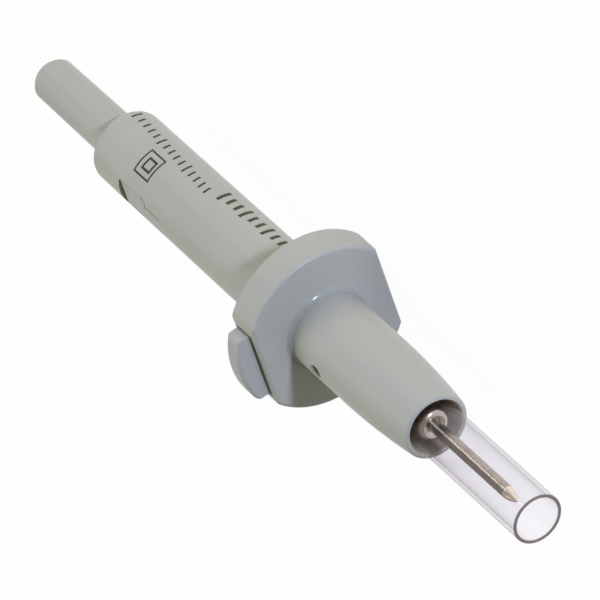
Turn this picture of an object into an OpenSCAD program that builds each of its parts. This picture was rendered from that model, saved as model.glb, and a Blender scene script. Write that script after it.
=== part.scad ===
// Test probe adapter with a spring-loaded clear sheath over its contact pin.
// The probe's axis is +X, pointing to the tip. The origin is the centre of the socket's mouth.
// +Z is up, on the side of the sheath latch and the snap clip. The finger guard's flats face +Z and -Z,
// so the probe can lie on the lower one.

/* [Lead socket and stub] */
// Bore for the lead's round plug
socket_bore_d = 4.0; // [3.8:0.05:4.2]
// Outside diameter of the socket contact
socket_d = 5.3; // [5.0:0.05:5.6]
// Depth of the socket's bore
socket_depth = 18.6; // [14:0.1:19]
// How far the socket sits inside the stub's mouth
socket_recess = 0.9; // [0.6:0.1:1.4]
// Diameter of the socket's flange
flange_d = 7.0; // [6.6:0.1:7.1]
// Thickness of the socket's flange
flange_t = 1.4; // [1:0.1:2]
// Distance from the plug's rear face to the socket's flange
flange_inset = 1.2; // [0.8:0.1:2]
// Diameter of the stub's mouth
stub_mouth_d = 4.4; // [4.4:0.05:4.7]
// Stub diameter at its rear end
stub_rear_d = 6.95; // [6.6:0.05:7.2]
// Stub diameter at the handle
stub_front_d = 7.2; // [6.9:0.05:7.6]
// Length of the stub that shows behind the handle
stub_len = 21.7; // [18:0.1:26]
// Radius of the stub's domed end
dome_r = 3.9; // [3.75:0.05:5]
// Fillet where the stub meets its plug
stub_fillet_r = 0.5; // [0.2:0.1:0.6]

/* [Handle] */
// Handle diameter at the rear
body_rear_d = 12.0; // [11.8:0.1:13]
// Handle diameter at the guard
body_front_d = 12.35; // [11.8:0.05:13.2]
// Handle length from its rear face to the guard
body_len = 50.3; // [48:0.1:58]
// Rounding of the handle's rear shoulder
shoulder_r = 1.1; // [0.4:0.1:1.1]
// Bore that the sheath and its spring run in
main_bore_d = 8.9; // [8.75:0.05:9.1]
// Bore that holds the stub's plug
plug_bore_d = 9.4; // [9.2:0.05:9.5]
// Depth of the plug bore
plug_len = 17.3; // [16.8:0.1:19]

/* [Finger guard] */
// Diameter of the guard
guard_d = 26.9; // [26:0.1:29]
// Distance across the guard's two flats
guard_flats = 22.4; // [21.8:0.1:23.4]
// Thickness of the guard
guard_t = 5.7; // [5.2:0.1:6.4]
// Rounding of the guard's edges
guard_edge_r = 0.6; // [0.2:0.1:0.8]
// Rounding of the guard's two corners on the latch side
guard_corner_r = 3.0; // [1:0.1:4]
// Fillet behind the guard
guard_rear_fillet = 0.6; // [0.3:0.1:0.8]

/* [Nose] */
// Length of the nose in front of the guard
nose_len = 29.35; // [27:0.05:31]
// Diameter of the nose at its root
nose_d = 12.5; // [12.2:0.05:13.4]
// Fillet at the root of the nose
nose_fillet = 1.0; // [0.5:0.1:2]
// Length of the nose before its barrel curve starts
nose_straight = 12.6; // [11:0.1:15]
// Radius of the barrel curve
barrel_r = 140; // [110:1:220]
// Rounding of the nose's lip
lip_r = 0.45; // [0.2:0.05:0.5]
// Chamfer of the bore at the lip
lip_chamfer = 0.2; // [0.1:0.05:0.3]
// Diameter of the port in the side of the nose
port_d = 2.2; // [1.6:0.1:3]
// Chamfer round the port
port_chamfer = 0.3; // [0.1:0.05:0.4]
// Distance from the guard's front to the port
port_x = 6.4; // [4.5:0.1:12]

/* [Snap clip in the handle] */
// Distance from the handle's rear face to the clip's window
clip_x = 7.9; // [7:0.1:9]
// Length of the whole window
clip_len = 11.8; // [10.5:0.1:14]
// Length of the window round the clip's head
clip_head_len = 7.4; // [6:0.1:8.2]
// Width of the window round the head
clip_head_w = 4.9; // [4.2:0.1:5.2]
// Width of the window round the neck
clip_neck_w = 3.2; // [2.4:0.1:3.8]
// Rounding of the window's corners
clip_corner_r = 0.6; // [0.3:0.1:1]
// Width of the slit round the clip
clip_slit = 0.15; // [0.1:0.05:0.3]
// Gap behind the clip's free end
clip_end_gap = 0.3; // [0.2:0.1:0.8]
// Depth of the flat on the head, below the handle's surface
clip_flat = 0.5; // [0.4:0.05:0.9]
// How far the head's hook reaches into the plug bore
hook_h = 0.5; // [0.3:0.05:0.55]

/* [Contact rod, collar and pin] */
// Diameter of the contact rod
rod_d = 4.0; // [3.4:0.1:4.1]
// Diameter of the studs at the rod's ends
stud_d = 2.6; // [2:0.1:2.8]
// Length of the studs
stud_len = 2.6; // [2:0.1:2.8]
// Outside diameter of the rod's insulating sleeve
sleeve_d = 6.0; // [5.6:0.05:6.2]
// Diameter of the collar
collar_d = 5.2; // [4.8:0.1:5.6]
// Length of the collar
collar_len = 6.4; // [6:0.1:9]
// Rounding of the collar's front rim
collar_rim_r = 0.9; // [0.4:0.1:1.1]
// Depth of the dish in the collar's front face
collar_dish = 0.6; // [0.3:0.1:1]
// How far the collar's rim lies inside the nose's lip
collar_inset = 0.35; // [0.1:0.05:3]
// Diameter of the contact pin
pin_d = 2.0; // [1.6:0.05:2.3]
// Shoulder of the pin above its neck, which is pressed into the collar
pin_shoulder = 0.25; // [0.2:0.05:0.4]
// Length of the pointed end of the pin
point_len = 2.9; // [2:0.1:4]
// Radius of the pin's rounded tip
tip_r = 0.25; // [0.15:0.05:0.4]
// Depth of the pin's neck in the collar
pin_seat = 3.0; // [2.4:0.1:3.2]

/* [Sheath] */
// Outside diameter of the clear sheath
sheath_d = 8.0; // [7.8:0.05:8.1]
// Wall of the sheath
sheath_wall = 0.5; // [0.4:0.05:0.6]
// How far the sheath stands out of the nose
sheath_out = 26.55; // [23:0.05:30]
// How far the pin's tip lies inside the sheath's mouth
pin_recess = 5.15; // [4.4:0.05:8]
// Length of the carrier's flange
carrier_len = 4.0; // [2.5:0.1:5]
// Length of the carrier's spigot inside the sheath
spigot_len = 5.0; // [3:0.1:8]

/* [Sheath spring] */
// Radial room between the return spring and its bore
spring_room = 0.25; // [0.15:0.05:0.4]
// Wire diameter of the return spring
spring_wire = 0.6; // [0.4:0.05:0.7]
// Number of turns of the return spring
spring_turns = 13; // [9:1:15]
// Thickness of the spring seat's flange
seat_t = 1.2; // [0.8:0.1:2]
// Length of the spring seat's barrel
seat_len = 4.0; // [2:0.1:6]

/* [Latch] */
// Width of the latch plate
plate_w = 11.8; // [11.3:0.1:12.6]
// Thickness of the latch plate
plate_t = 3.0; // [2.6:0.1:3.2]
// Radius of the thumb face, about the probe's axis
thumb_r = 14.5; // [14:0.1:15.5]
// Rounding of the thumb face's corners
thumb_corner_r = 1.0; // [0.6:0.1:2]
// Rounding of the thumb face's edges
thumb_edge_r = 0.6; // [0.2:0.1:0.9]
// Press travel of the latch
latch_travel = 1.4; // [1:0.1:1.5]
// Distance from the axis to the plate's far end
plate_far = 7.4; // [7:0.1:7.6]
// Rounding of the plate's far corners
plate_far_r = 1.6; // [0.8:0.1:2]
// Diameter of the two stop pins
stop_pin_d = 1.2; // [1:0.1:1.3]
// Depth of the stop pins below the axis
stop_pin_depth = 4.8; // [4.4:0.1:4.9]
// How far a stop pin bites into the plate's side
stop_bite = 0.7; // [0.5:0.05:0.8]
// Outside diameter of the latch springs
latch_spring_d = 1.7; // [1.4:0.05:1.8]
// Wire diameter of the latch springs
latch_wire = 0.25; // [0.15:0.05:0.3]
// Number of turns of a latch spring
latch_turns = 6; // [4:1:8]
// Distance of the latch springs from the middle
latch_spring_out = 2.6; // [2.4:0.1:3]
// Depth of the spring pockets in the plate
plate_pocket = 2.2; // [1.5:0.1:2.4]
// Depth of the spring pockets in the guard
guard_pocket = 1.2; // [0.6:0.1:1.4]

/* [Clearances] */
// Radial clearance of pieces fixed in each other
seat_gap = 0.05; // [0.02:0.01:0.08]
// Radial clearance of a pressed pin
press_gap = 0.01; // [0:0.01:0.02]
// Radial clearance of the sliding carrier
run_gap = 0.05; // [0.02:0.01:0.1]
// Clearance of the latch plate in its slot
plate_gap = 0.2; // [0.1:0.05:0.3]
// Chamfer along the mouth of the latch slot
slot_chamfer = 0.45; // [0.2:0.05:0.45]
// Clearance of the plate's window and pockets past round pieces
window_gap = 0.1; // [0.05:0.01:0.15]
// Gap at stops and spring ends at rest
stop_gap = 0.05; // [0.02:0.01:0.1]

/* [Hidden] */

// Segments of a full turn, and of a rounded corner in a profile
turn_fn = 96;
small_fn = 48;
corner_steps = 8;
barrel_steps = 16;
// Overshoot of a cut past the face that it opens
past = 1;
// Chamfer of the small inner pieces
edge_break = 0.2;

// Stations along the axis
x_rim = -socket_recess;
x_body = x_rim + stub_len;
x_guard = x_body + body_len;
x_nose = x_guard + guard_t;
x_lip = x_nose + nose_len;
x_mouth = x_lip + sheath_out;
x_tip = x_mouth - pin_recess;
x_step = x_body + plug_len;
plug_recess = 0.3;
x_plug = x_body + plug_recess;
x_flange = x_plug + flange_inset;
x_ring = x_flange + flange_t;
ring_t = 0.6;
x_sleeve = x_ring + ring_t + stop_gap;
x_collar_front = x_lip - collar_inset;
x_collar = x_collar_front - collar_len;
x_plate = x_guard + (guard_t - plate_t) / 2;
x_carrier_front = x_plate - stop_gap;
x_carrier = x_carrier_front - carrier_len;
x_spring = x_step + seat_t;

// Radii and half widths
plug_r = plug_bore_d / 2 - seat_gap;
ring_bore_r = rod_d / 2 + 0.3;
counterbore_r = flange_d / 2 + 0.2;
sleeve_bore_r = rod_d / 2 + seat_gap;
carrier_r = main_bore_d / 2 - run_gap;
carrier_bore_r = sleeve_d / 2 + 2 * run_gap;
sheath_r = sheath_d / 2;
sheath_in_r = sheath_r - sheath_wall;
spring_d = main_bore_d - 2 * spring_room;
pin_neck_r = pin_d / 2 - pin_shoulder;

// Clip: a head with a flat, a hook and a straight end, on a narrower neck rooted towards the guard
x_clip = x_body + clip_x;
x_head = x_clip + clip_end_gap;
x_neck = x_clip + clip_head_len - clip_slit;
x_catch = x_neck - clip_slit / 2;
x_root = x_clip + clip_len;
head_w = clip_head_w - 2 * clip_slit;
neck_w = clip_neck_w - 2 * clip_slit;
hook_low = plug_bore_d / 2 - hook_h;
flat_high = body_rear_d / 2 - clip_flat;

// Latch plate: an oval window, whose far arc stands in front of the carrier's flange until it is pressed
window_r = carrier_r + window_gap;
window_far = sheath_r + window_gap - window_r;
window_near = -latch_travel - window_gap;
slot_end = plate_far + latch_travel + plate_gap;
pocket_d = latch_spring_d + 2 * window_gap;
stop_pin_out = plate_w / 2 + stop_pin_d / 2 - stop_bite;
x_stop_pin = x_guard + 0.2;
stop_pin_len = guard_t - 0.8;

plastic = [0.67, 0.68, 0.66];
clear = [0.86, 0.86, 0.92, 0.35];
nickel = [0.72, 0.70, 0.66];
brass = [0.80, 0.66, 0.36];
steel = [0.62, 0.63, 0.65];
white_plastic = [0.90, 0.90, 0.87];

// Points of an arc about (cx, cy), from angle a to angle b
function arc(cx, cy, r, a, b, steps = corner_steps) =
    [for (i = [0:steps]) let (t = a + (b - a) * i / steps) [cx + r * cos(t), cy + r * sin(t)]];

// Turns a closed outline of [x, radius] points about the probe's axis
module turned(outline, fn = turn_fn) {
    rotate([0, 90, 0])
        rotate_extrude($fn = fn)
            polygon([for (p = outline) [p[1], p[0]]]);
}

// Round bar along the axis
module bar(x0, x1, r, fn = small_fn) {
    translate([x0, 0, 0])
        rotate([0, 90, 0])
            cylinder(r = r, h = x1 - x0, $fn = fn);
}

// Ring along the axis
module tube(x0, x1, r_out, r_in, fn = turn_fn) {
    turned([[x0, r_in], [x0, r_out], [x1, r_out], [x1, r_in]], fn);
}

// Flat plate square to the axis, from an outline of [depth below the axis, Y]
module slab(x0, x1) {
    translate([x0, 0, 0])
        rotate([0, 90, 0])
            linear_extrude(x1 - x0)
                children();
}

// Block above the axis between two heights, from an outline in X and Y
module top_block(low, high) {
    translate([0, 0, low])
        linear_extrude(high - low)
            children();
}

// Bar across the axis, from an outline in X and Z
module cross_bar(width) {
    rotate([90, 0, 0])
        translate([0, 0, -width / 2])
            linear_extrude(width)
                children();
}

// Rectangle about the X axis with rounded corners
module round_box(x0, x1, w, r) {
    h = w / 2 - r;
    polygon(concat(
        arc(x0 + r, h, r, 180, 90),
        arc(x1 - r, h, r, 90, 0),
        arc(x1 - r, -h, r, 0, -90),
        arc(x0 + r, -h, r, -90, -180)
    ));
}

// Coil spring along +Z with one tight turn at each end
module coil(height, outer_d, wire, turns, steps, sides) {
    mean_r = (outer_d - wire) / 2;
    tight = 1.15 * wire;
    open = (height - wire - 2 * tight) / (turns - 2);
    function rise(t) =
        t < 1 ? tight * t : t < turns - 1 ? tight + open * (t - 1) : height - wire - tight * (turns - t);
    rings = turns * steps;
    points = [
        for (i = [0:rings], k = [0:sides - 1])
            let (
                t = i / steps,
                a = 360 * t,
                b = 360 * k / sides,
                r = mean_r + wire / 2 * cos(b)
            )
            [r * cos(a), r * sin(a), wire / 2 + rise(t) + wire / 2 * sin(b)]
    ];
    walls = [
        for (i = [0:rings - 1], k = [0:sides - 1])
            let (n = (k + 1) % sides)
            [i * sides + k, i * sides + n, (i + 1) * sides + n, (i + 1) * sides + k]
    ];
    first = [for (k = [sides - 1:-1:0]) k];
    last = [for (k = [0:sides - 1]) rings * sides + k];
    polyhedron(points = points, faces = concat([first], walls, [last]), convexity = 10);
}

// Outline of the handle and nose, turned about the axis
function shell_outline() =
    let (
        r0 = body_rear_d / 2,
        r1 = body_front_d / 2,
        rn = nose_d / 2,
        x_barrel = x_nose + nose_straight,
        lean = asin((x_lip - lip_r - x_barrel) / (barrel_r - lip_r)),
        lip_x = x_lip - lip_r,
        lip_y = rn - barrel_r + (barrel_r - lip_r) * cos(lean)
    )
    concat(
        [[x_body, 0]],
        arc(x_body + shoulder_r, r0 - shoulder_r, shoulder_r, 180, 90),
        arc(x_guard - guard_rear_fillet, r1 + guard_rear_fillet, guard_rear_fillet, 270, 360),
        arc(x_nose + nose_fillet, rn + nose_fillet, nose_fillet, 180, 270),
        arc(x_barrel, rn - barrel_r, barrel_r, 90, 90 - lean, barrel_steps),
        arc(lip_x, lip_y, lip_r, 90 - lean, 0),
        [[x_lip, 0]]
    );

// Outline that rounds the guard's two corners at the upper flat and clears the disc elsewhere
module corner_outline() {
    r = guard_d / 2;
    c = guard_corner_r;
    depth = c - guard_flats / 2;
    out = sqrt((r - c) * (r - c) - depth * depth);
    a = atan2(out, depth);
    wide = r + past;
    run = (wide - r * sin(a)) / -cos(a);
    low = r * cos(a) + run * sin(a);
    polygon(concat(
        arc(depth, out, c, 180, a),
        [[low, wide], [wide, wide], [wide, -wide], [low, -wide]],
        arc(depth, -out, c, -a, -180)
    ));
}

// Finger guard: a disc with a rounded rim, cut by two flats with rounded edges
module guard() {
    r = guard_d / 2;
    e = guard_edge_r;
    f = guard_flats / 2;
    intersection() {
        slab(x_guard, x_nose)
            corner_outline();
        turned(concat(
            [[x_guard, 0]],
            arc(x_guard + e, r - e, e, 180, 90),
            arc(x_nose - e, r - e, e, 90, 0),
            [[x_nose, 0]]
        ));
        cross_bar(2 * r)
            polygon(concat(
                arc(x_guard + e, f - e, e, 180, 90),
                arc(x_nose - e, f - e, e, 90, 0),
                arc(x_nose - e, e - f, e, 0, -90),
                arc(x_guard + e, e - f, e, -90, -180)
            ));
    }
}

// Outline of the clip's window: wide round the head, narrow round the neck
module window_outline() {
    round_box(x_clip, x_neck + clip_slit, clip_head_w, clip_corner_r);
    round_box(x_neck - clip_head_w / 2, x_root, clip_neck_w, clip_corner_r);
}

// Outline of the clip inside its window
module clip_outline() {
    round_box(x_head, x_neck, head_w, clip_corner_r - clip_slit);
    translate([x_neck - clip_head_w / 2, -neck_w / 2])
        square([x_root + past - x_neck + clip_head_w / 2, neck_w]);
}

// Cuts that free the clip from the handle's wall and sink the flat on its head
module clip_cuts() {
    ramp = clip_flat + past;
    top_block(main_bore_d / 2 - past, body_front_d / 2 + past)
        difference() {
            window_outline();
            clip_outline();
        }
    cross_bar(clip_head_w - clip_slit)
        polygon([
            [x_head - clip_slit, flat_high],
            [x_neck - ramp, flat_high],
            [x_neck, flat_high + ramp],
            [x_head - clip_slit, flat_high + ramp]
        ]);
}

// Thick part of the clip's head, with a slope for the plug to push past and a square catch
module clip_hook() {
    slope = 1.2;
    inset = clip_slit / 2;
    intersection() {
        top_block(0, flat_high - inset)
            round_box(x_head + inset, x_catch, head_w - 2 * inset, clip_corner_r - clip_slit);
        cross_bar(head_w)
            polygon([
                [x_head, flat_high],
                [x_head, plug_bore_d / 2],
                [x_head + slope, hook_low],
                [x_neck, hook_low],
                [x_neck, flat_high]
            ]);
    }
}

// Slot across the guard for the latch plate, with round inner corners and a chamfer along its mouth
module latch_slot() {
    half = plate_w / 2 + plate_gap;
    r = plate_far_r;
    x0 = x_plate - plate_gap;
    x1 = x_plate + plate_t + plate_gap;
    mouth = guard_flats / 2 - slot_chamfer;
    run = slot_chamfer + past;
    cross_bar(2 * half)
        polygon([[x0, mouth], [x1, mouth], [x1 + run, mouth + run], [x0 - run, mouth + run]]);
    slab(x0, x1)
        polygon(concat(
            [[-guard_d / 2 - past, -half]],
            arc(slot_end - r, r - half, r, -90, 0),
            arc(slot_end - r, half - r, r, 0, 90),
            [[-guard_d / 2 - past, half]]
        ));
}

// Handle, finger guard and nose in one moulding
module housing() {
    color(plastic)
        union() {
            difference() {
                union() {
                    turned(shell_outline());
                    guard();
                }
                bar(x_body - past, x_step, plug_bore_d / 2, turn_fn);
                bar(x_step - past, x_lip + past, main_bore_d / 2, turn_fn);
                turned([
                    [x_lip - lip_chamfer, 0],
                    [x_lip - lip_chamfer, main_bore_d / 2],
                    [x_lip + past, main_bore_d / 2 + lip_chamfer + past],
                    [x_lip + past, 0]
                ]);
                clip_cuts();
                translate([x_nose + port_x, 0, 0])
                    cylinder(d = port_d, h = nose_d, $fn = small_fn);
                translate([x_nose + port_x, 0, nose_d / 2 - port_chamfer])
                    cylinder(d1 = port_d, d2 = port_d + 2 * nose_d, h = nose_d, $fn = small_fn);
                latch_slot();
                for (side = [-1, 1]) {
                    translate([0, side * stop_pin_out, -stop_pin_depth])
                        bar(x_guard - past, x_stop_pin + stop_pin_len, stop_pin_d / 2 + press_gap);
                    translate([x_plate + plate_t / 2, side * latch_spring_out, -slot_end - guard_pocket])
                        cylinder(d = pocket_d, h = guard_pocket + past, $fn = small_fn);
                }
            }
            clip_hook();
        }
}

// Grey stub with a domed end, moulded in one with the plug that snaps into the handle
module rear_insulator() {
    mouth_r = stub_mouth_d / 2;
    x_dome = x_rim + sqrt(dome_r * dome_r - mouth_r * mouth_r);
    a_mouth = 180 - asin(mouth_r / dome_r);
    a_side = 180 - asin(stub_rear_d / 2 / dome_r);
    f = stub_fillet_r;
    pocket_w = head_w + 4 * seat_gap;
    color(plastic)
        difference() {
            turned(concat(
                arc(x_dome, 0, dome_r, a_mouth, a_side),
                arc(x_plug - f, stub_front_d / 2 + f, f, 270, 360),
                [
                    [x_plug, plug_r - edge_break],
                    [x_plug + edge_break, plug_r],
                    [x_step - edge_break, plug_r],
                    [x_step, plug_r - edge_break],
                    [x_step, counterbore_r],
                    [x_flange, counterbore_r],
                    [x_flange, socket_d / 2 + seat_gap],
                    [0, socket_d / 2 + seat_gap],
                    [0, mouth_r]
                ]
            ));
            top_block(hook_low - stop_gap, plug_bore_d / 2 + past)
                translate([x_clip, -pocket_w / 2])
                    square([x_catch + stop_gap - x_clip, pocket_w]);
        }
}

// Turned socket that takes the lead's plug
module socket_tube() {
    mouth = 0.3;
    color(brass)
        difference() {
            union() {
                bar(0, x_flange, socket_d / 2, turn_fn);
                bar(x_flange, x_ring, flange_d / 2, turn_fn);
            }
            bar(-past, socket_depth, socket_bore_d / 2, turn_fn);
            bar(x_ring - stud_len, x_ring + past, stud_d / 2 + seat_gap);
            turned([
                [-past, 0],
                [-past, socket_bore_d / 2 + mouth + past],
                [mouth, socket_bore_d / 2],
                [mouth, 0]
            ]);
        }
}

// Push-in ring with inner teeth that holds the socket's flange on its shoulder
module retaining_ring() {
    teeth = 8;
    tooth_gap = 0.7;
    color(steel)
        difference() {
            tube(x_ring, x_ring + ring_t, counterbore_r - seat_gap, ring_bore_r);
            for (i = [0:teeth - 1])
                rotate([i * 360 / teeth, 0, 0])
                    translate([x_ring - past, 0, -tooth_gap / 2])
                        cube([ring_t + 2 * past, ring_bore_r + 0.6, tooth_gap]);
        }
}

// Rod that joins the socket to the collar
module contact_rod() {
    color(brass)
        union() {
            bar(x_ring - stud_len + stop_gap, x_ring, stud_d / 2);
            bar(x_ring, x_collar, rod_d / 2, turn_fn);
            bar(x_collar, x_collar + stud_len - stop_gap, stud_d / 2);
        }
}

// Insulating sleeve over the rod, on which the carrier slides
module rod_sleeve() {
    color(white_plastic)
        tube(x_sleeve, x_collar, sleeve_d / 2, sleeve_bore_r);
}

// Collar that holds the pin, with a rounded front rim and a dished face
module pin_collar() {
    r = collar_d / 2;
    rim_in = r - collar_rim_r;
    dish_r = (rim_in * rim_in + collar_dish * collar_dish) / (2 * collar_dish);
    color(nickel)
        difference() {
            turned(concat(
                [[x_collar, 0], [x_collar, r - edge_break], [x_collar + edge_break, r]],
                arc(x_collar_front - collar_rim_r, rim_in, collar_rim_r, 90, 0),
                arc(x_collar_front - collar_dish + dish_r, 0, dish_r, 180 - asin(rim_in / dish_r), 180)
            ));
            bar(x_collar - past, x_collar + stud_len, stud_d / 2 + seat_gap);
            bar(x_collar_front - pin_seat, x_collar_front + past, pin_neck_r + press_gap);
        }
}

// Contact pin with a bullet-shaped point and a neck that is pressed into the collar
module probe_pin() {
    r = pin_d / 2;
    x_seat = x_collar_front - pin_seat + stop_gap;
    run = point_len - tip_r;
    drop = r - tip_r;
    ogive_r = (run * run + drop * drop) / (2 * drop);
    bend = asin(run / ogive_r);
    color(nickel)
        turned(concat(
            [[x_seat, 0], [x_seat, pin_neck_r], [x_collar_front, pin_neck_r], [x_collar_front, r]],
            arc(x_tip - point_len, r - ogive_r, ogive_r, 90, 90 - bend),
            arc(x_tip - tip_r, 0, tip_r, 70, 0)
        ), small_fn);
}

// Bush in the plug's front end: centres the sleeve and seats the return spring
module spring_seat() {
    color(white_plastic)
        turned([
            [x_step - seat_len, sleeve_d / 2 + seat_gap],
            [x_step - seat_len, counterbore_r - seat_gap],
            [x_step, counterbore_r - seat_gap],
            [x_step, main_bore_d / 2 - 2 * seat_gap],
            [x_spring, main_bore_d / 2 - 2 * seat_gap],
            [x_spring, sleeve_d / 2 + seat_gap]
        ]);
}

// Return spring that pushes the sheath forward
module sheath_spring() {
    color(steel)
        translate([x_spring + stop_gap, 0, 0])
            rotate([0, 90, 0])
                coil(x_carrier - x_spring - 2 * stop_gap, spring_d, spring_wire, spring_turns, 18, 8);
}

// Clear tube round the pin
module sheath() {
    soft = sheath_wall * 0.4;
    color(clear)
        turned(concat(
            [[x_carrier_front, sheath_in_r], [x_carrier_front, sheath_r]],
            arc(x_mouth - soft, sheath_r - soft, soft, 90, 0, 4),
            arc(x_mouth - soft, sheath_in_r + soft, soft, 0, -90, 4)
        ));
}

// Carrier bush: its flange guides the sheath in the handle and stops it against the latch plate
module sheath_carrier() {
    color(white_plastic)
        turned([
            [x_carrier, carrier_bore_r],
            [x_carrier, carrier_r - edge_break],
            [x_carrier + edge_break, carrier_r],
            [x_carrier_front, carrier_r],
            [x_carrier_front, sheath_in_r - seat_gap],
            [x_carrier_front + spigot_len, sheath_in_r - seat_gap],
            [x_carrier_front + spigot_len, carrier_bore_r]
        ]);
}

// Outline of the latch plate, with a rounded thumb face at the top
module plate_outline() {
    half = plate_w / 2;
    c = thumb_corner_r;
    corner_out = half - c;
    corner_depth = -sqrt((thumb_r - c) * (thumb_r - c) - corner_out * corner_out);
    a = atan2(corner_out, corner_depth);
    f = plate_far_r;
    polygon(concat(
        arc(plate_far - f, half - f, f, 0, 90),
        arc(corner_depth, corner_out, c, 90, a),
        arc(0, 0, thumb_r, a, 360 - a, 24),
        arc(corner_depth, -corner_out, c, 360 - a, 270),
        arc(plate_far - f, f - half, f, -90, 0)
    ));
}

// Latch plate: thumb face, oval window round the sheath, and a notch for each stop pin
module latch_plate() {
    e = thumb_edge_r;
    x_end = x_plate + plate_t;
    notch_top = stop_pin_depth - stop_pin_d / 2 - latch_travel - plate_gap;
    notch_end = stop_pin_depth + stop_pin_d / 2 + stop_gap;
    notch_out = stop_pin_out - stop_pin_d / 2 - stop_gap;
    color(plastic)
        difference() {
            intersection() {
                slab(x_plate, x_end)
                    plate_outline();
                turned(concat(
                    [[x_plate, 0]],
                    arc(x_plate + e, thumb_r - e, e, 180, 90),
                    arc(x_end - e, thumb_r - e, e, 90, 0),
                    [[x_end, 0]]
                ));
            }
            slab(x_plate - past, x_end + past)
                union() {
                    translate([window_far, 0])
                        circle(r = window_r, $fn = turn_fn);
                    translate([window_near, 0])
                        circle(r = window_r, $fn = turn_fn);
                    translate([window_near, -window_r])
                        square([window_far - window_near, 2 * window_r]);
                }
            for (side = [-1, 1]) {
                slab(x_plate - past, x_end + past)
                    translate([notch_top, side > 0 ? notch_out : -notch_out - 2 * past])
                        square([notch_end - notch_top, 2 * past]);
                translate([x_plate + plate_t / 2, side * latch_spring_out, -plate_far - past])
                    cylinder(d = pocket_d, h = plate_pocket + past, $fn = small_fn);
            }
        }
}

// Two small springs between the plate and the guard that push the latch back out
module latch_springs() {
    top = plate_far - plate_pocket + stop_gap;
    foot = slot_end + guard_pocket - stop_gap;
    color(steel)
        for (side = [-1, 1])
            translate([x_plate + plate_t / 2, side * latch_spring_out, -foot])
                coil(foot - top, latch_spring_d, latch_wire, latch_turns, 12, 6);
}

// Pins pressed into the guard from behind, which hold the plate in its slot
module latch_stop_pins() {
    color(steel)
        for (side = [-1, 1])
            translate([0, side * stop_pin_out, -stop_pin_depth])
                bar(x_stop_pin, x_stop_pin + stop_pin_len, stop_pin_d / 2);
}

housing();
rear_insulator();
socket_tube();
retaining_ring();
contact_rod();
rod_sleeve();
pin_collar();
probe_pin();
spring_seat();
sheath_spring();
sheath();
sheath_carrier();
latch_plate();
latch_springs();
latch_stop_pins();
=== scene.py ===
import math

import bmesh
import bpy
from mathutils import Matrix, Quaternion, Vector


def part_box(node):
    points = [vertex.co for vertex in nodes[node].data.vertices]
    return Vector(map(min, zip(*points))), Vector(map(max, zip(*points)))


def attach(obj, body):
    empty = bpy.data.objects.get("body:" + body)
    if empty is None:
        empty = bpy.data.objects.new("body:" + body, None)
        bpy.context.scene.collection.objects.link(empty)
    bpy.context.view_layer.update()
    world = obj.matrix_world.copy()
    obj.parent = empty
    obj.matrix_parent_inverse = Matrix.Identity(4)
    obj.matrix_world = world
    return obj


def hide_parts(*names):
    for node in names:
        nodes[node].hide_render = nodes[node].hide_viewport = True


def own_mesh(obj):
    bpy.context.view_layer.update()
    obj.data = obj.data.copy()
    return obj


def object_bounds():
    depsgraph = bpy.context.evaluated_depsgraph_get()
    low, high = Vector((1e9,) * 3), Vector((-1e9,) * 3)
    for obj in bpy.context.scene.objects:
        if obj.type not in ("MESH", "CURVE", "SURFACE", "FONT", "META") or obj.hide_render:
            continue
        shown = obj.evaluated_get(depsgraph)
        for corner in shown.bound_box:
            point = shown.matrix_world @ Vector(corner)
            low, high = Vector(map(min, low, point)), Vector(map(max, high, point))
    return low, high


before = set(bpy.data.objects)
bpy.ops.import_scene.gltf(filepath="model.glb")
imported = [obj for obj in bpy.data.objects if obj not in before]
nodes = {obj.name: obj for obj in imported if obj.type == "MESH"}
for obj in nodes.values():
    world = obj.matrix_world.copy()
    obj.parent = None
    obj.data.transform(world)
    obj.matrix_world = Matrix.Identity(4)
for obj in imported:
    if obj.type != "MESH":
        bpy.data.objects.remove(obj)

cad_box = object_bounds()
scene = bpy.context.scene
MM = 0.001


# Helpers

def linear(r, g, b):
    """An sRGB colour, 0 to 255, as linear RGBA."""
    def one(c):
        c /= 255
        return c / 12.92 if c <= 0.04045 else ((c + 0.055) / 1.055) ** 2.4
    return (one(r), one(g), one(b), 1)


def box_mm(node):
    """The lowest and highest corner of a CAD node, in millimetres."""
    low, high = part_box(node)
    return low / MM, high / MM


def arc(cx, cy, r, a, b, steps):
    """Points of an arc about (cx, cy), from angle a to angle b in degrees."""
    turn = [math.radians(a + (b - a) * i / steps) for i in range(steps + 1)]
    return [(cx + r * math.cos(t), cy + r * math.sin(t)) for t in turn]


def feed(tree, value, socket):
    """Sends a node's output into a socket, or sets the socket to a constant."""
    if hasattr(value, "is_output"):
        tree.links.new(value, socket)
    else:
        socket.default_value = value


def math_node(tree, operation, *values):
    made = tree.nodes.new("ShaderNodeMath")
    made.operation = operation
    for value, socket in zip(values, made.inputs):
        feed(tree, value, socket)
    return made.outputs[0]


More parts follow.
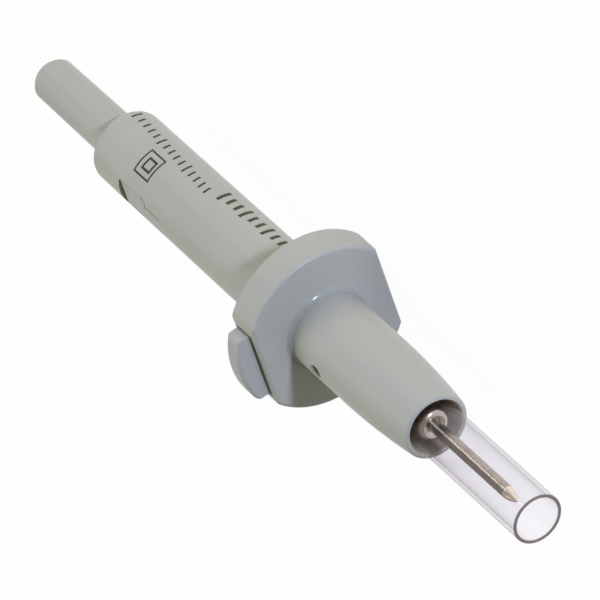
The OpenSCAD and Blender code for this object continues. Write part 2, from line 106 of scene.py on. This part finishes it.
class Material:
    """A node material with one Principled shader, and short calls that add nodes to it."""

    # The sockets of a Mix node that carry colours
    MIX_A, MIX_B, MIX_OUT = 6, 7, 2

    def __init__(self, name, **sockets):
        self.mat = bpy.data.materials.new(name)
        self.mat.use_nodes = True
        self.tree = self.mat.node_tree
        self.shader = self.tree.nodes["Principled BSDF"]
        self.output = self.tree.nodes["Material Output"]
        self.use(**sockets)
        self.place = self.node("ShaderNodeTexCoord").outputs["Object"]

    def node(self, kind, **settings):
        made = self.tree.nodes.new(kind)
        for key, value in settings.items():
            setattr(made, key, value)
        return made

    def put(self, value, socket):
        feed(self.tree, value, socket)

    def stretched(self, x, y, z):
        """The object's own coordinates in millimetres, stretched by these factors."""
        made = self.node("ShaderNodeMapping")
        made.inputs["Scale"].default_value = (x / MM, y / MM, z / MM)
        self.put(self.place, made.inputs["Vector"])
        return made.outputs["Vector"]

    def off_axis(self):
        """The distance from the probe's axis, in millimetres."""
        made = self.node("ShaderNodeVectorMath", operation="LENGTH")
        self.put(self.stretched(0, 1, 1), made.inputs[0])
        return made.outputs["Value"]

    def along(self, start, end):
        """A share that goes from 0 to 1 between two places along the probe, in millimetres."""
        made = self.node("ShaderNodeSeparateXYZ")
        self.put(self.place, made.inputs["Vector"])
        return self.span(made.outputs["X"], start * MM, end * MM)

    def between(self, start, end, rise=0.1, fall=0.1):
        """A share of 1 between two places along the probe, with soft edges inside them."""
        return self.math("SUBTRACT", self.along(start, start + rise), self.along(end - fall, end))

    def noise(self, scale, detail=2.0, rough=0.5, at=None):
        """Noise with this many features a millimetre."""
        made = self.node("ShaderNodeTexNoise")
        self.put(at or self.stretched(1, 1, 1), made.inputs["Vector"])
        made.inputs["Scale"].default_value = scale
        made.inputs["Detail"].default_value = detail
        made.inputs["Roughness"].default_value = rough
        return made.outputs["Fac"]

    def span(self, value, low, high, to_low=0.0, to_high=1.0):
        """Takes a value from one range to another and holds it at the ends."""
        made = self.node("ShaderNodeMapRange")
        self.put(value, made.inputs["Value"])
        limits = {"From Min": low, "From Max": high, "To Min": to_low, "To Max": to_high}
        for key, limit in limits.items():
            made.inputs[key].default_value = limit
        return made.outputs["Result"]

    def spread(self, noise, to_low=0.0, to_high=1.0, low=0.3, high=0.7):
        """Takes noise, most of which lies between low and high, to another range."""
        return self.span(noise, low, high, to_low, to_high)

    def mix(self, share, a, b):
        made = self.node("ShaderNodeMix", data_type="RGBA")
        self.put(share, made.inputs["Factor"])
        self.put(a, made.inputs[self.MIX_A])
        self.put(b, made.inputs[self.MIX_B])
        return made.outputs[self.MIX_OUT]

    def math(self, operation, a, b):
        return math_node(self.tree, operation, a, b)

    def bump(self, height, distance, strength, after=None):
        """A relief of this many millimetres."""
        made = self.node("ShaderNodeBump")
        self.put(strength, made.inputs["Strength"])
        made.inputs["Distance"].default_value = distance * MM
        self.put(height, made.inputs["Height"])
        if after:
            self.put(after, made.inputs["Normal"])
        return made.outputs["Normal"]

    def blend(self, share, a, b):
        """Sends a mix of two shaders to the material's output."""
        made = self.node("ShaderNodeMixShader")
        self.put(share, made.inputs[0])
        self.put(a, made.inputs[1])
        self.put(b, made.inputs[2])
        self.put(made.outputs[0], self.output.inputs["Surface"])

    def use(self, **sources):
        """Sets or links sockets of the shader, named with _ for each space."""
        for key, value in sources.items():
            self.put(value, self.shader.inputs[key.replace("_", " ")])
        return self


def wear(obj, material):
    obj.data.materials.clear()
    obj.data.materials.append(material.mat)


def mesh_object(name, bm, material, smooth=True):
    """An object from a bmesh in millimetres."""
    bmesh.ops.scale(bm, vec=(MM, MM, MM), verts=bm.verts)
    bmesh.ops.recalc_face_normals(bm, faces=bm.faces)
    data = bpy.data.meshes.new(name)
    bm.to_mesh(data)
    bm.free()
    for face in data.polygons:
        face.use_smooth = smooth
    obj = bpy.data.objects.new(name, data)
    scene.collection.objects.link(obj)
    wear(obj, material)
    return obj


def make(name, bm, material, body, smooth=True):
    """A piece that wears the given material and rides on a body."""
    obj = mesh_object(name, bm, material, smooth)
    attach(obj, body)
    return obj


def skin(bm, rings, closed=False, capped=False):
    """Faces between successive rings of points.

    The last ring is joined to the first, or both ends are capped, or neither.
    """
    loops = [[bm.verts.new(p) for p in ring] for ring in rings]
    for a, b in zip(loops, loops[1:] + (loops[:1] if closed else [])):
        for i in range(len(a)):
            j = (i + 1) % len(a)
            bm.faces.new((a[i], a[j], b[j], b[i]))
    if capped:
        bm.faces.new(loops[0])
        bm.faces.new(loops[-1])


def lathe(outline, steps):
    """A closed outline of (x, radius) points turned about the X axis."""
    bm = bmesh.new()
    rings = []
    for i in range(steps):
        a = 2 * math.pi * i / steps
        rings.append([(x, r * math.sin(a), r * math.cos(a)) for x, r in outline])
    skin(bm, rings, closed=True)
    return bm


# Camera, fitted to the outlines in the photograph

camera = bpy.data.objects.new("camera", bpy.data.cameras.new("camera"))
scene.collection.objects.link(camera)
camera.location = (1.280694, 1.170702, 0.428010)
camera.rotation_mode = "QUATERNION"
camera.rotation_quaternion = Quaternion((0.786042, -0.383845, 0.479033, 0.072994))
camera.data.sensor_width = 36
camera.data.lens = 720
camera.data.clip_start = 0.1
camera.data.clip_end = 20
scene.camera = camera


# Materials

HANDLE_REAR = box_mm("housing")[0].x
GUARD_FRONT = 76.8
NOSE_INSIDE = (80, 82)
NOSE_BORE = 4.45
POINT_START = box_mm("probe_pin")[1].x - 2.9
POLISHED = (
    (GUARD_FRONT + 0.02, GUARD_FRONT + 0.95),
    (HANDLE_REAR + 0.05, HANDLE_REAR + 0.9),
)


def moulded(name, tone, shade, polished=()):
    """Satin moulded plastic with faint clouding and fine grain.

    It is smoother at the polished places along X. Inside the nose bore a warmer tone is painted
    shade, and the corner between guard and nose is darkened with painted shade.
    """
    fleck_tone = linear(150, 152, 148)
    # Painted shade: a warmer, darker tone for the shade inside the nose bore
    painted_bore_shade_tone = linear(178, 164, 142)
    # Painted shade: a darker tone for the corner between guard and nose
    painted_corner_shade_tone = linear(140, 146, 142)
    m = Material(name, Specular_IOR_Level=0.36)
    cloud = m.noise(0.06, detail=3, rough=0.6)
    fleck = m.noise(1.6, detail=3, rough=0.6)
    bore_shade_mask = m.span(m.off_axis(), NOSE_BORE + 0.1, NOSE_BORE + 0.25, 1.0, 0.0)
    # Where the painted shade in the corner between guard and nose lies
    corner = m.between(GUARD_FRONT, GUARD_FRONT + 1.0, fall=0.2)

    colour = m.mix(m.spread(cloud), shade, tone)
    colour = m.mix(m.spread(fleck, 0.0, 0.10, low=0.35, high=0.75), colour, fleck_tone)
    # Paints the warm shade inside the nose bore
    colour = m.mix(m.math("MULTIPLY", bore_shade_mask, m.along(*NOSE_INSIDE)), colour, painted_bore_shade_tone)
    # Paints the shade in the corner between guard and nose
    colour = m.mix(m.math("MULTIPLY", corner, 0.45), colour, painted_corner_shade_tone)

    satin = 1.0
    for start, end in polished:
        satin = m.math("SUBTRACT", satin, m.between(start, end))
    grain = m.noise(7.0)
    waves = m.noise(0.35)
    normal = m.bump(grain, 0.010, m.math("MULTIPLY", satin, 0.55))
    normal = m.bump(waves, 0.05, m.math("MULTIPLY", satin, 0.35), after=normal)
    rough = m.math("ADD", m.spread(fleck, 0.36, 0.44), m.spread(cloud, -0.02, 0.03))
    rough = m.math("MULTIPLY", rough, m.span(satin, 0, 1, 0.4, 1.0))
    return m.use(Base_Color=colour, Roughness=rough, Normal=normal)


def turned_metal(name, light, dark, rough, rings, relief=0.4, painted_highlight_from=None):
    """Turned and plated metal with slight staining and fine tool rings about the axis.

    There are so many rings a millimetre. From the given place on, the end is lightened by a
    painted highlight.
    """
    # Painted highlight: the light colour of the end
    painted_highlight_tone = linear(248, 234, 214)
    m = Material(name, Metallic=1.0)
    tool = m.noise(rings, rough=0.6, at=m.stretched(1, 0.02, 0.02))
    stain = m.noise(0.35, detail=4, rough=0.6)
    fine = m.noise(5.0)
    colour = m.mix(m.spread(stain, low=0.35), light, dark)
    # Paints the highlight on the end
    if painted_highlight_from:
        colour = m.mix(m.along(painted_highlight_from, painted_highlight_from + 0.3), colour, painted_highlight_tone)
    return m.use(
        Base_Color=colour,
        Roughness=m.math("ADD", m.spread(tool, *rough), m.spread(fine, -0.02, 0.02)),
        Normal=m.bump(tool, 0.002, relief),
    )


def plain_white():
    m = Material("white_plastic", Specular_IOR_Level=0.45)
    cloud = m.spread(m.noise(0.2, detail=3))
    return m.use(
        Base_Color=m.mix(cloud, linear(222, 222, 214), linear(232, 231, 224)),
        Roughness=m.spread(m.noise(1.5, detail=3), 0.4, 0.5),
        Normal=m.bump(m.noise(6.0), 0.01, 0.5),
    )


def clear_plastic():
    """Clear thin tube that doesn't bend the light.

    It greys towards its edges, and towards the nose with painted shade for the dark inside
    reflected
    in it. Its rim is darker: a frosted cut edge, with painted shade for the dark that the rounded
    mouth shows.
    """
    edge_tone = linear(176, 166, 166)
    # Frosted cut rim, darkened partly with painted shade for the dark that the rounded mouth
    # shows
    cut_rim_and_shade_tone = linear(122, 108, 106)
    m = Material("clear_plastic", IOR=1.0, Coat_Weight=0.6, Coat_Roughness=0.05)
    low, high = box_mm("sheath")
    rim = m.along(high.x - 0.3, high.x - 0.16)
    facing = m.node("ShaderNodeLayerWeight")
    facing.inputs["Blend"].default_value = 0.5
    edge = m.math("POWER", facing.outputs["Facing"], 4.0)
    # Painted shade: the wall greys towards the nose, for the dark inside reflected in it
    painted_shade_fade = m.along(low.x + 32, high.x)
    cloud = m.spread(m.noise(0.15), 0.0, 0.3)
    haze = m.spread(m.noise(0.8), 0.0, 0.02)

    # Paints that shade on the wall
    wall = m.mix(painted_shade_fade, linear(241, 239, 243), linear(250, 249, 253))
    wall = m.mix(cloud, wall, linear(243, 241, 248))
    wall = m.mix(edge, wall, edge_tone)
    # The rim is a frosted cut edge, darkened partly with painted shade
    m.use(
        Base_Color=m.mix(rim, wall, cut_rim_and_shade_tone),
        Transmission_Weight=m.math("SUBTRACT", 1.0, m.math("MULTIPLY", rim, 0.85)),
        Roughness=m.math("ADD", haze, m.math("MULTIPLY", rim, 0.3)),
    )
    ghost = m.node("ShaderNodeBsdfTransparent")
    ghost.inputs["Color"].default_value = (0.9, 0.9, 0.93, 1)
    path = m.node("ShaderNodeLightPath")
    m.blend(path.outputs["Is Shadow Ray"], m.shader.outputs[0], ghost.outputs[0])
    return m


def printing_ink():
    m = Material("ink", Specular_IOR_Level=0.35)
    worn = m.spread(m.noise(2.5, detail=3, rough=0.7), high=0.75)
    return m.use(
        Base_Color=m.mix(worn, linear(46, 42, 22), linear(74, 68, 38)),
        Roughness=m.spread(m.noise(3.0), 0.5, 0.65),
        Normal=m.bump(m.noise(8.0), 0.004, 0.5),
    )


grey = moulded("grey_plastic", linear(180, 181, 175), linear(174, 176, 171), POLISHED)
latch_grey = moulded("grey_plastic_latch", linear(177, 180, 177), linear(171, 174, 172))
white = plain_white()
collar_nickel = turned_metal(
    "collar_nickel", linear(214, 205, 191), linear(190, 180, 166), rough=(0.14, 0.22), rings=8.0,
)
# The pin's point carries a painted highlight
nickel = turned_metal(
    "nickel", linear(190, 181, 168), linear(168, 158, 144), rough=(0.20, 0.28), rings=8.0,
    relief=0.12, painted_highlight_from=POINT_START,
)
brass = turned_metal(
    "brass", linear(206, 178, 112), linear(184, 152, 86), rough=(0.22, 0.32), rings=6.0,
)
steel = turned_metal(
    "spring_steel", linear(176, 177, 180), linear(158, 158, 160), rough=(0.24, 0.34), rings=5.0,
)
clear = clear_plastic()
ink = printing_ink()

WORN = {
    "housing": grey,
    "rear_insulator": grey,
    "socket_tube": brass,
    "retaining_ring": steel,
    "contact_rod": brass,
    "rod_sleeve": white,
    "pin_collar": collar_nickel,
    "probe_pin": nickel,
    "spring_seat": white,
    "sheath_spring": steel,
    "sheath": clear,
    "sheath_carrier": white,
    "latch_plate": latch_grey,
    "latch_springs": steel,
    "latch_stop_pins": steel,
}
for name, material in WORN.items():
    wear(nodes[name], material)


# Clear sheath, with a softly rounded mouth

def sheath_tube():
    wall = 0.5
    soft = 0.2
    stations = 12
    low, high = box_mm("sheath")
    length = high.x - low.x
    outer = high.y
    inner = outer - wall
    outline = [(low.x, inner), (low.x, outer)]
    outline += [(low.x + length * i / stations, outer) for i in range(1, stations)]
    outline += arc(high.x - soft, outer - soft, soft, 90, 0, steps=6)
    outline += arc(high.x - soft, inner + soft, soft, 0, -90, steps=6)
    outline += [(high.x - length * i / stations, inner) for i in range(1, stations)]
    tube = make("clear_sheath", lathe(outline, steps=192), clear, "sliding_sheath")
    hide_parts("sheath")


sheath_tube()


# Springs, wound from round wire with one tight turn at each end

TIGHT_PITCH = 1.15


def coil(bm, place, length, mean, wire, turns, steps=40, sides=10):
    """A coil in bm, where place(a, radius, height) gives the point at an angle."""
    tight = TIGHT_PITCH * wire
    open_pitch = (length - wire - 2 * tight) / (turns - 2)

    def rise(t):
        if t < 1:
            return tight * t
        if t < turns - 1:
            return tight + open_pitch * (t - 1)
        return length - wire - tight * (turns - t)

    rings = []
    for i in range(turns * steps + 1):
        t = i / steps
        ring = []
        for k in range(sides):
            b = 2 * math.pi * k / sides
            radius = mean + wire / 2 * math.cos(b)
            height = wire / 2 * (1 + math.sin(b)) + rise(t)
            ring.append(place(2 * math.pi * t, radius, height))
        rings.append(ring)
    skin(bm, rings, capped=True)


def return_spring():
    wire = 0.6
    turns = 13
    low, high = box_mm("sheath_spring")
    length = high.x - low.x
    mean = high.y - wire / 2

    def place(a, r, h):
        return (low.x + h, r * math.sin(a), -r * math.cos(a))

    bm = bmesh.new()
    coil(bm, place, length, mean, wire, turns)
    spring = make("return_spring", bm, steel, "handle")
    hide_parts("sheath_spring")
    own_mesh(spring)


def plate_springs():
    wire = 0.25
    turns = 6
    low, high = box_mm("latch_springs")
    length = high.z - low.z
    outside = high.x - low.x
    middle = (low.x + high.x) / 2
    out = high.y - outside / 2
    bm = bmesh.new()
    for side in (-1, 1):
        def place(a, r, h, y=side * out):
            return (middle + r * math.cos(a), y + r * math.sin(a), low.z + h)
        coil(bm, place, length, (outside - wire) / 2, wire, turns)
    springs = make("plate_springs", bm, steel, "handle")
    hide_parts("latch_springs")
    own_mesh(springs)


return_spring()
plate_springs()


# Printed marks on the handle: strokes of ink laid round its wall, in place of the lettering

RAISED = 0.02
SUNK = 0.02
WALL_START = 21.9
WALL_LENGTH = 48.4
WALL_RADIUS = 6.0
WALL_GAIN = 0.175
DEGREE = math.radians(1) * 6.05
SHARPEST = 0.5

# Squares: from and to along the handle, from and to round it in degrees, and the line's width
SQUARES = (
    (31.5, 35.2, 0.5, 38.5, 0.26),
    (32.6, 34.4, 11, 28, 0.34),
)

# Rows of ticks: a row's line goes from one (place, degrees) to another, and some ticks are tall
TICK_ROWS = (
    dict(count=15, start=22.6, pitch=1.6, line=((23, -26), (44.6, -10)),
         tall=1.0, short=0.7, tall_every=5, lean=0.12, width=0.36),
    dict(count=10, start=47.6, pitch=1.85, line=((46, -22), (60, -29.5)),
         tall=1.35, short=0.95, tall_every=3, lean=0.2, width=0.62),
)


def handle_radius(x):
    """The handle's radius at x, which grows slightly towards the guard."""
    return WALL_RADIUS + WALL_GAIN * (x - WALL_START) / WALL_LENGTH


def resampled(points, step=0.2):
    out = [points[0]]
    for a, b in zip(points, points[1:]):
        n = max(1, math.ceil(math.dist(a, b) / step))
        for i in range(1, n + 1):
            out.append((a[0] + (b[0] - a[0]) * i / n, a[1] + (b[1] - a[1]) * i / n))
    return out


def stroke(bm, points, width, closed=False):
    """A raised line of ink along (x, arc) points in millimetres.

    The arc is measured round the handle from +Y.
    """
    line = resampled(points + points[:1] if closed else points)
    if closed:
        line.pop()
    last = len(line) - 1
    rings = []
    for i, (x, s) in enumerate(line):
        before = line[i - 1] if closed or i else (2 * x - line[1][0], 2 * s - line[1][1])
        if closed or i < last:
            after = line[(i + 1) % len(line)]
        else:
            after = (2 * x - before[0], 2 * s - before[1])
        one = Vector((x - before[0], s - before[1])).normalized()
        two = Vector((after[0] - x, after[1] - s)).normalized()
        across = Vector((-(one + two).y, (one + two).x)).normalized()
        half = width / 2 / max(SHARPEST, across.dot(Vector((-one.y, one.x))))
        ring = []
        for side, lift in ((1, RAISED), (-1, RAISED), (-1, -SUNK), (1, -SUNK)):
            px = x + side * half * across.x
            ps = s + side * half * across.y
            r = handle_radius(px) + lift
            a = ps / handle_radius(px)
            ring.append((px, r * math.cos(a), r * math.sin(a)))
        rings.append(ring)
    skin(bm, rings, closed=closed, capped=not closed)


def rectangle(x0, x1, s0, s1):
    return [(x0, s0), (x1, s0), (x1, s1), (x0, s1)]


def tick_row(bm, count, start, pitch, line, tall, short, tall_every, lean, width):
    (x0, turn0), (x1, turn1) = line
    for i in range(count):
        x = start + pitch * i
        middle = (turn0 + (turn1 - turn0) * (x - x0) / (x1 - x0)) * DEGREE
        half = short if i % tall_every else tall
        stroke(bm, [(x - lean, middle - half), (x + lean, middle + half)], width)


def printed_marks():
    bm = bmesh.new()
    for x0, x1, turn0, turn1, width in SQUARES:
        corners = rectangle(x0, x1, turn0 * DEGREE, turn1 * DEGREE)
        stroke(bm, corners, width, closed=True)
    for row in TICK_ROWS:
        tick_row(bm, **row)
    make("printed_marks", bm, ink, "handle", smooth=False)


printed_marks()


# Light, set by direction in the picture: to the right, up, and towards the camera

MIDDLE = Vector((0.07, 0, 0))
FAR = 1.3
AMBIENT = 0.11
AMBIENT_TINT = (1.0, 0.86, 0.5, 1)
MIRRORED_SKY = 0.3

# Each lamp: name, direction, size in metres, power in watts, colour, and whether it is mirrored
LAMPS = (
    ("key", (0.40, 0.16, 0.90), 0.12, 12.0, (0.69, 0.77, 1.0), True),
    ("top", (0.0, 1.0, 0.0), 0.8, 4.0, (1.0, 0.80, 0.38), True),
    ("left", (-1.0, 0.0, 0.2), 0.8, 11.4, (0.84, 0.83, 0.86), False),
    ("low_left", (-0.75, -0.65, 0.05), 0.8, 4.0, (0.87, 0.93, 0.84), False),
    ("back", (-0.2, -0.3, -0.93), 0.8, 9.5, (0.9, 0.93, 1.0), False),
    ("streak", (-0.74, 0.67, 0.03), 0.16, 0.35, (1.0, 0.97, 0.9), True),
    ("glint", (-0.91, -0.40, 0.11), 0.35, 0.45, (1.0, 0.95, 0.85), True),
)


def lamp(name, direction, size, power, colour, mirrored):
    light = bpy.data.lights.new(name, "AREA")
    light.energy = power
    light.color = colour
    light.size = size
    obj = bpy.data.objects.new(name, light)
    scene.collection.objects.link(obj)
    towards = (camera.rotation_quaternion @ Vector(direction)).normalized()
    obj.location = MIDDLE + FAR * towards
    obj.rotation_euler = (-towards).to_track_quat("-Z", "Y").to_euler()
    obj.visible_glossy = mirrored
    obj.visible_transmission = mirrored


for row in LAMPS:
    lamp(*row)


def background_share(tree, in_metal):
    """Where the white background shows.

    It shows to the camera and through clear plastic, and by a share of in_metal in reflections.
    """
    path = tree.nodes.new("ShaderNodeLightPath").outputs
    seen = math_node(tree, "MAXIMUM", path["Is Camera Ray"], path["Is Transmission Ray"])
    seen = math_node(tree, "MAXIMUM", seen, path["Is Glossy Ray"])
    reflected = math_node(tree, "MINIMUM", path["Glossy Depth"], 1.0)
    strength = math_node(tree, "MULTIPLY_ADD", reflected, in_metal - 1.0, 1.0)
    return math_node(tree, "MULTIPLY", seen, strength)


def studio_sky():
    world = bpy.data.worlds.new("world")
    scene.world = world
    world.use_nodes = True
    tree = world.node_tree
    tree.nodes.clear()
    white_sky = tree.nodes.new("ShaderNodeBackground")
    white_sky.inputs["Color"].default_value = (1, 1, 1, 1)
    soft = tree.nodes.new("ShaderNodeBackground")
    soft.inputs["Color"].default_value = AMBIENT_TINT
    soft.inputs["Strength"].default_value = AMBIENT
    both = tree.nodes.new("ShaderNodeMixShader")
    sky = tree.nodes.new("ShaderNodeOutputWorld")
    tree.links.new(background_share(tree, MIRRORED_SKY), both.inputs[0])
    tree.links.new(soft.outputs[0], both.inputs[1])
    tree.links.new(white_sky.outputs[0], both.inputs[2])
    tree.links.new(both.outputs[0], sky.inputs["Surface"])


studio_sky()


# Floor under the guard's lower flat, which throws no shadow, as some lamps lie below its level

FLOOR_SIZE = 3000
FLOOR_GLOW = 0.97


def pale_floor():
    m = Material("floor", Roughness=0.9, Specular_IOR_Level=0.1)
    cloud = m.spread(m.noise(0.002))
    m.use(Base_Color=m.mix(cloud, linear(214, 214, 214), linear(218, 218, 218)))
    glow = m.node("ShaderNodeEmission")
    share = m.math("MULTIPLY", background_share(m.tree, 1.0), FLOOR_GLOW)
    m.blend(share, m.shader.outputs[0], glow.outputs[0])
    return m


sheet = bmesh.new()
bmesh.ops.create_grid(sheet, x_segments=8, y_segments=8, size=FLOOR_SIZE)
floor = mesh_object("floor", sheet, pale_floor(), smooth=False)
floor.location = (0, 0, cad_box[0][2])
floor.visible_shadow = False

scene.view_settings.view_transform = "Standard"
